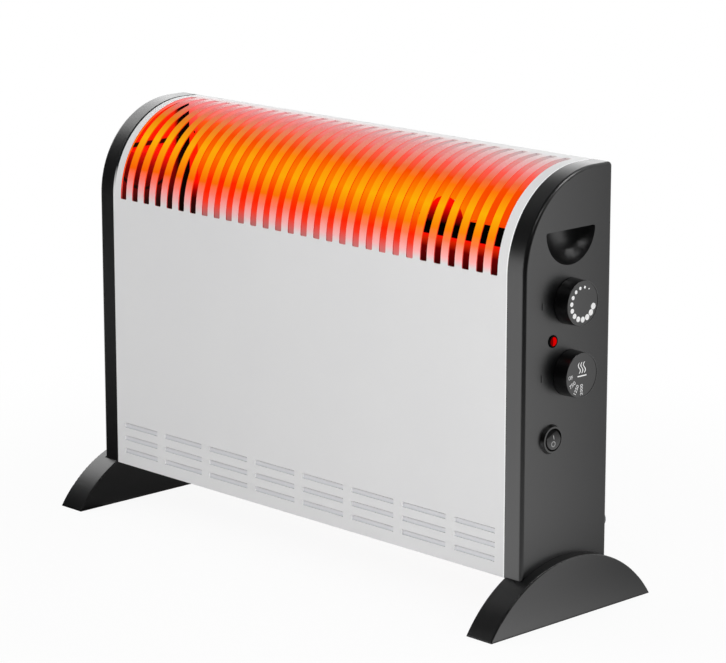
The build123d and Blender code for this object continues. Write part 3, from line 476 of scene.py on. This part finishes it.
finishes = {
    # Steel sheet in stoved enamel that stands the heat: flat black
    "stovedReflector": {"colours": ("#050404", "#020202"), "roughness": (0.7, 0.85), "grain": 2.0,
                        "depth": 0.01, "detail": 4.0, "shader": {"Specular IOR Level": 0.0}, "strength": 0.3},
    # Hot-dip galvanised sheet: dull grey zinc with a faint spangle
    "galvanisedSteel": {"colours": ("#A5A6A4", "#B9BAB8"), "roughness": (0.34, 0.5), "grain": 7.0,
                        "depth": 0.01, "shader": {"Metallic": 1.0}, "strength": 0.3, "spangle": True},
    # Extruded aluminium: pale, with lines along its length
    "extrudedAluminium": {"colours": ("#C9C8C5", "#B5B4B1"), "roughness": (0.3, 0.42), "grain": 1.2,
                          "depth": 0.02, "drawn": (0.05, 1, 1), "shader": {"Metallic": 1.0}},
    # Drawn steel sheath, browned by heat
    "sheathSteel": {"colours": ("#6E6A66", "#58524E"), "roughness": (0.3, 0.45), "grain": 1.0, "depth": 0.01,
                    "drawn": (0.1, 1, 1), "shader": {"Metallic": 1.0}},
    # Blackened steel screws: dark, with a dull sheen
    "blackenedSteel": {"colours": ("#3A3A3A", "#2C2C2C"), "roughness": (0.32, 0.45), "grain": 0.6,
                       "depth": 0.01, "shader": {"Metallic": 1.0}},
    # Turned steel: bright, with fine lines round the shaft
    "turnedSteel": {"colours": ("#B8B8B8", "#A4A4A4"), "roughness": (0.22, 0.34), "grain": 0.5,
                    "depth": 0.005, "drawn": (1, 1, 0.1), "shader": {"Metallic": 1.0}},
    # Fired steatite: cream and dull
    "steatite": {"colours": ("#E8E2D4", "#DCD4C4"), "roughness": (0.5, 0.62), "grain": 0.8, "depth": 0.02,
                 "detail": 4.0, "shader": {"IOR": 1.6}},
    # Moulded nylon: dark grey
    "fanNylon": {"colours": ("#2E2E30", "#262628"), "roughness": (0.4, 0.5), "grain": 1.0, "depth": 0.02,
                 "detail": 4.0, "shader": {"IOR": 1.53}},
    # Varnished iron stack and winding: brown-grey under a clear film
    "varnishedIron": {"colours": ("#6A645C", "#565048"), "roughness": (0.35, 0.5), "grain": 0.5,
                      "depth": 0.03, "detail": 4.0, "shader": {"IOR": 1.5}},
    # Heat-proof moulded resin: cream
    "heatProofResin": {"colours": ("#D8D2C2", "#CCC6B6"), "roughness": (0.4, 0.55), "grain": 1.0,
                       "depth": 0.02, "detail": 4.0, "shader": {"IOR": 1.55}},
    # Black polycarbonate with a matt surface
    "mattPolycarbonate": {"colours": ("#020202", "#010101"), "roughness": (0.7, 0.8), "grain": 0.5,
                          "depth": 0.01, "detail": 4.0, "shader": {"IOR": 1.58, "Specular IOR Level": 0.05}},
    # Pad-printed ink: flat, a shade thinner in places
    "padPrintWhite": {"colours": ("#FFFFFF", "#F0F0F0"), "roughness": (0.5, 0.65), "grain": 0.8,
                      "depth": 0.005, "strength": 0.3},
    "padPrintGrey": {"colours": ("#A8A8A8", "#989898"), "roughness": (0.5, 0.65), "grain": 0.8,
                     "depth": 0.005, "strength": 0.3},
}
finishes["stovedShield"] = finishes["stovedReflector"]


def grainedFinish(name, glow=None):
    look = finishes[name]
    material, tree, shader, spot = newMaterial(name, look.get("shader"))
    turned = addNode(tree, "Mapping", {"Scale": look.get("drawn", (1, 1, 1))}, {"Vector": spot["place"]})
    if look.get("spangle"):
        pattern = addNode(tree, "TexVoronoi", {"Scale": 1 / look["grain"]}, {"Vector": turned.outputs[0]})
    else:
        sizes = {"Scale": 1 / look["grain"], "Detail": look.get("detail", 3.0)}
        pattern = addNode(tree, "TexNoise", sizes, {"Vector": turned.outputs[0]})
    first, second = look["colours"]
    tree.links.new(paint(tree, first, (pattern.outputs[0], second)), shader.inputs["Base Color"])
    addGrain(tree, shader, pattern.outputs[0], look["roughness"], look.get("strength", 0.4), look["depth"],
             (0.0, 1.0) if look.get("spangle") else (0.3, 0.7))
    if glow:
        glow(tree, shader, spot)
    return material


giveFinish(powderCoat("powderCoatedSteelLit", "bend"), "front_casing")
giveFinish(powderCoat("powderCoatedSteelRear", "rear"), "rear_panel")
giveFinish(mouldedPlastic("mouldedAbs", capLook),
           "right_end_cap", "right_foot", "left_foot", "terminal_block")
giveFinish(mouldedPlastic("mouldedAbsLit", capLook, lightCap), "left_end_cap")
giveFinish(mouldedPlastic("knobAbs", knobLook), "thermostat_knob", "selector_knob")
giveFinish(mouldedPlastic("switchNylon", switchLook), "rocker_housing", "cable_inlet")
giveFinish(grainedFinish("stovedReflector", reflectorGlow), "reflector")
giveFinish(grainedFinish("stovedShield", shieldGlow), "control_shield")
giveFinish(grainedFinish("galvanisedSteel"), "bottom_grille", "left_end_plate", "fan_bracket")
giveFinish(grainedFinish("extrudedAluminium"), "lower_fin_block", "upper_fin_block")
giveFinish(grainedFinish("sheathSteel"), "lower_heating_rod", "upper_heating_rod")
giveFinish(grainedFinish("blackenedSteel"), "foot_screws", "casing_screws", "plate_screws")
giveFinish(grainedFinish("turnedSteel"), "fan_shaft", "control_nuts", "thermostat_stem", "selector_stem")
giveFinish(grainedFinish("steatite"), "element_bushes")
giveFinish(grainedFinish("fanNylon"), "fan_impeller")
giveFinish(grainedFinish("varnishedIron"), "fan_motor")
giveFinish(grainedFinish("heatProofResin"), "thermostat_body", "selector_switch", "thermal_cutout")
giveFinish(grainedFinish("mattPolycarbonate"), "lamp_holder")
print("finishes")


# Lamp and rocker

lamp = {"shade": "#740000", "lit": "#D40000", "litFrom": (-1.44, -0.8), "half": 4.0,
        "lens": ("#240000", "#180000"), "rim": "#020000", "ribs": 1.5, "centre": (0.0, -18.1, 239.0),
        "clear": 3.75, "softEdge": 0.15}
# the button's painted shade: colours low on it, at its ridge and high on it, and black for its sides, for the
# painted shadow across its upper left and for the shaded gap round its face
rockerLook = {"low": "#646464", "ridge": "#4C4C4C", "high": "#262626", "rim": "#050505",
              "rise": (147.0, 166.0), "centre": (0.0, -19.3, 156.5), "facing": (0.85, 0.94),
              "shadeFrom": 4.3, "shadeSlant": (-0.345, 0.94), "shadeEdge": 0.5,
              "faceCentre": (0.0, -18.8, 156.5), "faceRadius": 8.3, "faceEdge": 0.2, "grain": 0.5,
              "lowAt": 0.05, "ridgeAt": 0.5, "highAt": 0.9}


def lampPlastic():
    # Clear red polycarbonate lens over a small neon lamp: dark red, bright where the lamp shows, with a
    # painted shade on its left side and black painted shade round its rim, for the gap in the holder
    material, tree, shader, spot = newMaterial("lampPolycarbonate", {"Specular IOR Level": 0.0})
    sizes = {"Scale": 1 / lamp["ribs"], "Detail": 2.0}
    ribs = addNode(tree, "TexNoise", sizes, {"Vector": spot["place"]}).outputs[0]
    centre = lamp["centre"][1]
    dark, lit = (centre + side for side in lamp["litFrom"])
    across = (centre - lamp["half"], centre + lamp["half"])
    heat = heatAlong(tree, spot["Y"], across, [(dark, lamp["shade"]), (lit, lamp["lit"])])
    # the lens's outer rim is painted black, base and glow, as the shade in the gap round it
    reach = reachFrom(tree, spot, lamp["centre"], (0, 1, 1))
    rim = mask(tree, (reach, lamp["clear"] - lamp["softEdge"], lamp["clear"] + lamp["softEdge"]))
    first, second = lamp["lens"]
    tree.links.new(paint(tree, first, (ribs, second), (rim, lamp["rim"])), shader.inputs["Base Color"])
    addGrain(tree, shader, ribs, (0.28, 0.4), 0.3, 0.02)
    shine(tree, shader, paint(tree, heat, (rim, "#000000")))
    return material


def buttonNylon():
    # Black glass-filled nylon, with painted shade: pale on its lower half, darkening up its sunk upper half,
    # a painted shadow across its upper left, and black painted shade in the gap round its face
    material, tree, shader, spot = newMaterial("buttonNylon", {"Specular IOR Level": 0.05})
    sizes = {"Scale": 1 / rockerLook["grain"], "Detail": 3.0}
    speck = addNode(tree, "TexNoise", sizes, {"Vector": spot["place"]}).outputs[0]
    low, high = rockerLook["rise"]
    shadingStops = [(low + rockerLook[part + "At"] * (high - low), rockerLook[part])
            for part in ("low", "ridge", "high")]
    paintedShading = heatAlong(tree, spot["Z"], rockerLook["rise"], shadingStops)
    aside, above = rockerLook["shadeSlant"]
    away = addNode(tree, "VectorMath", {"operation": "SUBTRACT", 1: rockerLook["centre"]}, {0: spot["place"]})
    towards = {"operation": "DOT_PRODUCT", 1: (0.0, aside, above)}
    slant = addNode(tree, "VectorMath", towards, {0: away.outputs[0]})
    reach = reachFrom(tree, spot, rockerLook["faceCentre"], (0, 1, 1))
    shade, soft = rockerLook["shadeFrom"], rockerLook["shadeEdge"]
    radius, thin = rockerLook["faceRadius"], rockerLook["faceEdge"]
    # the painted shading shows on the face; beyond the slanted line lies a painted shadow, and beyond the
    # face's radius a shaded gap, both black
    face = mask(tree, (spot["facingX"], *rockerLook["facing"]),
                (slant.outputs["Value"], shade + soft, shade - soft), (reach, radius + thin, radius - thin))
    faint = addNode(tree, "Math", {"operation": "MULTIPLY", 1: 0.2}, {0: speck}).outputs[0]
    colour = paint(tree, rockerLook["rim"], (face, paintedShading), (faint, "#000000"))
    tree.links.new(colour, shader.inputs["Base Color"])
    addGrain(tree, shader, speck, (0.5, 0.6), 0.3, 0.01)
    return material


giveFinish(lampPlastic(), "lamp_lens")
giveFinish(buttonNylon(), "rocker_button")
print("lamp and switch")


# Print on the controls

printLook = {"thickness": 0.05, "axis": 2.1, "knobFace": 281.95, "sides": 28}   # axis is the y of both knobs
heatDots = {"height": 270.0, "radius": 13.5, "count": 13, "first": 57.0, "last": 342.0,
            "smallest": 1.4, "largest": 5.5, "growth": 0.6}
selectorPrint = {
    "height": 209.5,
    # each setting's angle round the knob, and where it starts and ends on the way out from the axis
    "words": {"OFF": (180, 10.9, 15.9), "750": (210, 9.0, 16.5), "1250": (240, 8.7, 16.9),
              "2000": (270, 7.4, 16.7)},
    "letterHeight": 3.2,
    "bar": (-5.0, 5.9, -0.95, 0.15),
    "waves": (-3.0, 0.1, 3.2),
    "waveFoot": 2.0,
    "waveTop": 11.2,
    "waveSway": 1.3,
    "waveWidth": 1.05,
    "waveSteps": 20,
}
rockerPrint = {"pivot": 156.5, "face": 271.25, "slope": 16.0, "lineAt": -18.4, "lineFoot": 156.9,
               "lineTop": 160.0, "lineWidth": 0.9, "ringAt": (-19.3, 152.9), "ringRadius": 2.5,
               "ringWidth": 0.75}


def addBlock(x, y, z, wide, high):
    # a flat block of ink, from its middle
    bpy.ops.object.select_all(action="DESELECT")
    bpy.ops.mesh.primitive_cube_add(size=mm, location=(x * mm, y * mm, z * mm), calc_uvs=False,
                                    scale=(printLook["thickness"], wide, high))
    bpy.ops.object.transform_apply(location=True, rotation=True, scale=True)
    return bpy.context.object


def pickVertices(piece, wanted):
    # selects vertices by place, in edit mode, and leaves the rest alone
    bpy.ops.object.mode_set(mode="EDIT")
    bpy.ops.mesh.select_mode(type="VERT")
    bpy.ops.mesh.select_all(action="DESELECT")
    bpy.ops.object.mode_set(mode="OBJECT")
    for vertex in piece.data.vertices:
        vertex.select = wanted(vertex.co)
    bpy.ops.object.mode_set(mode="EDIT")


def addDots(x):
    dots = []
    for i in range(heatDots["count"]):
        share = i / (heatDots["count"] - 1)
        turn = math.radians(heatDots["first"] + share * (heatDots["last"] - heatDots["first"]))
        grown = share ** heatDots["growth"]
        size = heatDots["smallest"] + (heatDots["largest"] - heatDots["smallest"]) * grown
        y = printLook["axis"] + heatDots["radius"] * math.cos(turn)
        z = heatDots["height"] + heatDots["radius"] * math.sin(turn)
        bpy.ops.object.select_all(action="DESELECT")
        bpy.ops.mesh.primitive_cylinder_add(vertices=printLook["sides"], radius=size / 2 * mm,
                                            depth=printLook["thickness"] * mm, calc_uvs=False,
                                            location=(x * mm, y * mm, z * mm), rotation=(0, math.pi / 2, 0))
        dots.append(bpy.context.object)
    return dots


def addWaves(x):
    # one wave, from an upright block cut across and swayed to one side and then to the other, and its copies
    foot = selectorPrint["height"] + selectorPrint["waveFoot"]
    high = selectorPrint["waveTop"] - selectorPrint["waveFoot"]
    steps = selectorPrint["waveSteps"]
    places = [printLook["axis"] + place for place in selectorPrint["waves"]]
    first = addBlock(x, places[0], foot + high / 2, selectorPrint["waveWidth"], high)
    bpy.ops.object.mode_set(mode="EDIT")
    bpy.ops.mesh.select_mode(type="EDGE")
    bpy.ops.mesh.select_all(action="DESELECT")
    bpy.ops.object.mode_set(mode="OBJECT")
    corners = first.data.vertices
    for edge in first.data.edges:
        low, top = (corners[end].co.z for end in edge.vertices)
        edge.select = abs(top - low) > high * mm / 2
    bpy.ops.object.mode_set(mode="EDIT")
    bpy.ops.mesh.subdivide(number_cuts=steps - 1)
    for step in range(1, steps):
        level = (foot + high * step / steps) * mm
        pickVertices(first, lambda place: abs(place.z - level) < high / steps / 4 * mm)
        sway = selectorPrint["waveSway"] * math.sin(2 * math.pi * step / steps)
        bpy.ops.transform.translate(value=(0, sway * mm, 0))
    bpy.ops.object.mode_set(mode="OBJECT")
    waves = [first]
    for place in places[1:]:
        bpy.ops.object.select_all(action="DESELECT")
        first.select_set(True)
        bpy.context.view_layer.objects.active = first
        bpy.ops.object.duplicate()
        bpy.ops.transform.translate(value=(0, (place - places[0]) * mm, 0))
        waves.append(bpy.context.object)
    return waves


def addWord(word):
    # a word that reads towards the knob's axis, fitted between two distances from it
    angle, near, far = selectorPrint["words"][word]
    bpy.ops.object.select_all(action="DESELECT")
    bpy.ops.object.text_add()
    letters = bpy.context.object
    letters.data.body = word
    letters.data.extrude = 0.5
    letters.data.resolution_u = 4
    bpy.ops.object.convert(target="MESH")
    letters = bpy.context.object
    across = [vertex.co.x for vertex in letters.data.vertices]
    up = [vertex.co.y for vertex in letters.data.vertices]
    wide = (far - near) / (max(across) - min(across))
    high = selectorPrint["letterHeight"] / (max(up) - min(up))
    thick = printLook["thickness"]
    start = (-far - min(across) * wide, -selectorPrint["letterHeight"] / 2 - min(up) * high, thick / 2)
    centre = (printLook["knobFace"], printLook["axis"], selectorPrint["height"])
    onFace = Matrix(((0, 0, 1, 0), (1, 0, 0, 0), (0, 1, 0, 0), (0, 0, 0, 1)))   # flat text, stood on the knob
    turn = Matrix.Rotation(math.radians(angle - 180), 4, "X")
    size = Matrix.Diagonal((wide, high, thick, 1))
    letters.matrix_world = (Matrix.Scale(mm, 4) @ Matrix.Translation(centre) @ turn @ onFace
                            @ Matrix.Translation(start) @ size)
    return letters


def addRing(x, y, z):
    # the O: a circle drawn in to its inner edge, then pulled out to the ink's thickness
    outer, inner = rockerPrint["ringRadius"], rockerPrint["ringRadius"] - rockerPrint["ringWidth"]
    centre = (x * mm, y * mm, z * mm)
    bpy.ops.object.select_all(action="DESELECT")
    bpy.ops.mesh.primitive_circle_add(vertices=printLook["sides"], radius=outer * mm, location=centre,
                                      rotation=(0, math.pi / 2, 0), calc_uvs=False)
    bpy.ops.object.transform_apply(location=True, rotation=True, scale=True)
    ring = bpy.context.object
    bpy.ops.object.mode_set(mode="EDIT")
    bpy.ops.mesh.select_all(action="SELECT")
    bpy.ops.mesh.extrude_edges_move()
    bpy.ops.transform.resize(value=(inner / outer,) * 3, center_override=centre)
    bpy.ops.mesh.select_all(action="SELECT")
    bpy.ops.mesh.extrude_region_move(TRANSFORM_OT_translate={"value": (printLook["thickness"] * mm, 0, 0)})
    bpy.ops.object.mode_set(mode="OBJECT")
    return ring


def addLine():
    # the I: a block that leans in with the rocker's upper face
    foot, top = rockerPrint["lineFoot"], rockerPrint["lineTop"]
    slope = math.tan(math.radians(rockerPrint["slope"]))
    x = rockerPrint["face"] - (foot - rockerPrint["pivot"]) * slope + printLook["thickness"] / 2
    line = addBlock(x, rockerPrint["lineAt"], (foot + top) / 2, rockerPrint["lineWidth"], top - foot)
    pickVertices(line, lambda place: place.z > (foot + top) / 2 * mm)
    bpy.ops.transform.translate(value=((foot - top) * slope * mm, 0, 0))
    bpy.ops.object.mode_set(mode="OBJECT")
    return line


def joinPrint(name, marks, body, ink):
    # one piece out of the marks of a control, with closed seams
    bpy.ops.object.select_all(action="DESELECT")
    for mark in marks:
        mark.select_set(True)
    bpy.context.view_layer.objects.active = marks[0]
    bpy.ops.object.transform_apply(location=True, rotation=True, scale=True)
    bpy.ops.object.join()
    bpy.ops.object.mode_set(mode="EDIT")
    bpy.ops.mesh.select_all(action="SELECT")
    bpy.ops.mesh.remove_doubles(threshold=0.001 * mm)
    bpy.ops.mesh.normals_make_consistent(inside=False)
    bpy.ops.object.mode_set(mode="OBJECT")
    piece = bpy.context.object
    piece.name = name
    piece.data.name = name
    piece.data.materials.clear()
    piece.data.materials.append(ink)
    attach(piece, body)


whiteInk = grainedFinish("padPrintWhite")
onKnob = printLook["knobFace"] + printLook["thickness"] / 2
joinPrint("thermostatDots", addDots(onKnob), "thermostat", whiteInk)
left, right, low, high = selectorPrint["bar"]
barMiddle = (printLook["axis"] + (left + right) / 2, selectorPrint["height"] + (low + high) / 2)
selectorParts = [addBlock(onKnob, *barMiddle, right - left, high - low)]
selectorParts += addWaves(onKnob)
selectorParts += [addWord(word) for word in selectorPrint["words"]]
joinPrint("selectorMarks", selectorParts, "selector", whiteInk)
joinPrint("rockerMarks", [addLine(), addRing(rockerPrint["face"], *rockerPrint["ringAt"])], "rocker",
          grainedFinish("padPrintGrey"))
print("marks")


# Camera, floor and light

camera = {
    "azimuth": 45.946,
    "elevation": 13.016,
    "distance": 2667.0,
    "target": (21.8, 3.9, 203.0),
    "lens": 149.83,
    "sensor": 36.0,
    "farthest": 60.0,       # in metres
}


def direction(azimuth, elevation):
    # unit vector towards a place seen at that azimuth from the front, and elevation
    turn = math.radians(azimuth)
    lift = math.radians(elevation)
    return Vector((math.sin(turn) * math.cos(lift), -math.cos(turn) * math.cos(lift), math.sin(lift)))


def addCamera():
    data = bpy.data.cameras.new("camera")
    data.lens = camera["lens"]
    data.sensor_width = camera["sensor"]
    data.clip_end = camera["farthest"]
    piece = bpy.data.objects.new("camera", data)
    bpy.context.scene.collection.objects.link(piece)
    towards = direction(camera["azimuth"], camera["elevation"])
    piece.location = (Vector(camera["target"]) + towards * camera["distance"]) * mm
    piece.rotation_euler = towards.to_track_quat("Z", "Y").to_euler()
    bpy.context.scene.camera = piece


softboxes = {
    # name: centre, looks at, width, height, brightness (1 is white)
    "keyLight": ((1000, -1400, 1500), (0, 0, 200), 900, 900, 2.4),
    "nearLight": ((760, -760, 520), (150, 0, 200), 600, 600, 1.6),
    "topLight": ((100, 300, 1900), (0, 0, 200), 1600, 1200, 0.3),
    "backLight": ((300, 1700, 1100), (0, 0, 200), 1600, 1000, 1.2),
    "leftLight": ((-1500, -900, 1000), (0, 0, 200), 900, 1200, 1.2),
}


def addSoftbox(name):
    place, aim, wide, high, bright = softboxes[name]
    data = bpy.data.lights.new(name, "AREA")
    data.shape = "RECTANGLE"
    data.size = wide * mm
    data.size_y = high * mm
    data.energy = math.pi * wide * high * mm * mm * bright
    piece = bpy.data.objects.new(name, data)
    bpy.context.scene.collection.objects.link(piece)
    piece.location = Vector(place) * mm
    piece.rotation_euler = (Vector(place) - Vector(aim)).to_track_quat("Z", "Y").to_euler()
    piece.visible_camera = False
    piece.visible_glossy = False


def upright(x, y, farX, farY, foot, top):
    # corners of a card that stands on the line between two places
    return [(x, y, foot), (x, y, top), (farX, farY, top), (farX, farY, foot)]


cardLift = 0.3          # of a card on the floor


def lying(*places):
    # corners of a card that lies on the floor
    return [(x, y, cardLift) for x, y in places]


cards = {
    # name: corners, brightness at its first corner and at its third, which fades along y;
    # they stand round the heater and show only in its reflections
    "frontFlag": (upright(120, -740, 780, -520, 0, 1300), 0.0, 0.0),
    "frontRightFlag": (upright(780, -520, 900, 150, 0, 1300), 0.0, 0.0),
    "leftRimFlag": (upright(-1290, -296, -707, -852, 0, 620), 0.0, 0.0),
    "leftFloorFlag": (lying((-300, -20), (-160, -160), (-700, -720), (-1000, -420)), 0.0, 0.0),
    "underFlag": (lying((-250, 95), (-250, -95), (-60, -60), (-60, 60)), 0.15, 0.15),
    "rightRimCard": (upright(-492, -542, -95, -951, 0, 420), 2.4, 2.4),
    "frontFloorCard": (lying((80, -80), (245, -110), (-95, -900), (-480, -560)), 2.3, 2.3),
    "rightFloorCard": (lying((279, -110), (398, -110), (398, 200), (279, 200)), 2.0, 0.25),
    "rightNearCard": (upright(400, 25, 400, 304, 0, 430), 2.4, 0.0),
    "pocketCard": ([(462, -440, 800), (642, -440, 800), (642, -300, 834), (462, -300, 834)], 9.0, 9.0),
    "pocketTopCard": ([(400, 20, 850), (620, 20, 850), (620, 240, 850), (400, 240, 850)], 13.0, 13.0),
    "leftCard": (upright(-1200, -250, -1200, 800, 500, 1400), 3.5, 3.5),
    "leftBackCard": (upright(-1200, 800, -1200, 2300, 0, 1650), 2.2, 3.1),
    "leftLowCard": (upright(-1200, 500, -1200, 800, 0, 500), 2.1, 2.1),
}


def addCard(name):
    corners, bright, brightLast = cards[name]
    mesh = bpy.data.meshes.new(name)
    mesh.from_pydata([Vector(corner) * mm for corner in corners], [], [(0, 1, 2, 3)])
    card = bpy.data.objects.new(name, mesh)
    bpy.context.scene.collection.objects.link(card)
    material = bpy.data.materials.new(name)
    material.use_nodes = True
    tree = material.node_tree
    tree.nodes.clear()
    light = addNode(tree, "Emission", {"Color": (1.0, 1.0, 1.0, 1.0), "Strength": bright})
    if brightLast != bright:
        whole = addNode(tree, "TexCoord").outputs["Object"]
        axes = addNode(tree, "SeparateXYZ", links={0: whole})
        ends = {1: corners[0][1] * mm, 2: corners[2][1] * mm, 3: bright, 4: brightLast}
        fall = addNode(tree, "MapRange", ends, {0: axes.outputs["Y"]}).outputs[0]
        tree.links.new(fall, light.inputs["Strength"])
    addNode(tree, "OutputMaterial", links={"Surface": light.outputs[0]})
    mesh.materials.append(material)
    card.visible_camera = False
    card.visible_diffuse = False
    card.visible_transmission = False
    card.visible_shadow = False


studio = {"sky": "#C4C4C4", "behind": (0.2, 0.7), "front": 0.02}


def addWorld():
    # even light, white to the camera; reflections find it dark ahead of the heater and white behind it
    world = bpy.data.worlds.new("studio")
    world.use_nodes = True
    bpy.context.scene.world = world
    tree = world.node_tree
    tree.nodes.clear()
    path = addNode(tree, "LightPath").outputs
    white = either(tree, path["Is Camera Ray"], path["Is Transmission Ray"])
    heading = addNode(tree, "TexCoord").outputs["Generated"]
    axes = addNode(tree, "SeparateXYZ", links={0: heading})
    low, high = studio["behind"]
    mirrored = heatAlong(tree, axes.outputs["Y"], (low, high), [(low, studio["front"]), (high, 1.0)])
    colour = paint(tree, studio["sky"], (path["Is Glossy Ray"], mirrored), (white, "#FFFFFF"))
    back = addNode(tree, "Background", {"Strength": 1.0}, {"Color": colour})
    addNode(tree, "OutputWorld", links={"Surface": back.outputs[0]})


floorLook = {"half": 20000.0, "drop": 0.2, "colour": "#F4F4F4", "fade": (350.0, 800.0), "shadowShare": 0.08}


def addFloor():
    # a pale floor that keeps a faint shadow near the heater and is plain white further off
    bpy.ops.object.select_all(action="DESELECT")
    bpy.ops.mesh.primitive_plane_add(size=2 * floorLook["half"] * mm,
                                     location=(0, 0, -floorLook["drop"] * mm))
    floor = bpy.context.object
    floor.name = "floor"
    material = bpy.data.materials.new("paleFloor")
    material.use_nodes = True
    tree = material.node_tree
    tree.nodes.clear()
    place = addNode(tree, "TexCoord").outputs["Object"]
    reach = addNode(tree, "VectorMath", {"operation": "LENGTH"}, {0: place}).outputs["Value"]
    near, far = (edge * mm for edge in floorLook["fade"])
    ends = {"interpolation_type": "SMOOTHSTEP", 1: near, 2: far, 3: 1 - floorLook["shadowShare"], 4: 1.0}
    plain = addNode(tree, "MapRange", ends, {0: reach}).outputs[0]
    path = addNode(tree, "LightPath").outputs
    seen = either(tree, path["Is Camera Ray"], path["Is Transmission Ray"])
    white = either(tree, mask(tree, seen, plain), mask(tree, path["Is Glossy Ray"], (reach, near, far)))
    matt = addNode(tree, "BsdfDiffuse", {"Color": linearColour(floorLook["colour"])})
    bright = addNode(tree, "Emission", {"Color": linearColour("#FFFFFF"), "Strength": 1.0})
    both = addNode(tree, "MixShader", links={0: white, 1: matt.outputs[0], 2: bright.outputs[0]})
    addNode(tree, "OutputMaterial", links={"Surface": both.outputs[0]})
    floor.data.materials.append(material)


addCamera()
addWorld()
addFloor()
for name in softboxes:
    addSoftbox(name)
for name in cards:
    addCard(name)
bpy.context.scene.view_settings.view_transform = "Standard"
print("camera, floor and light")
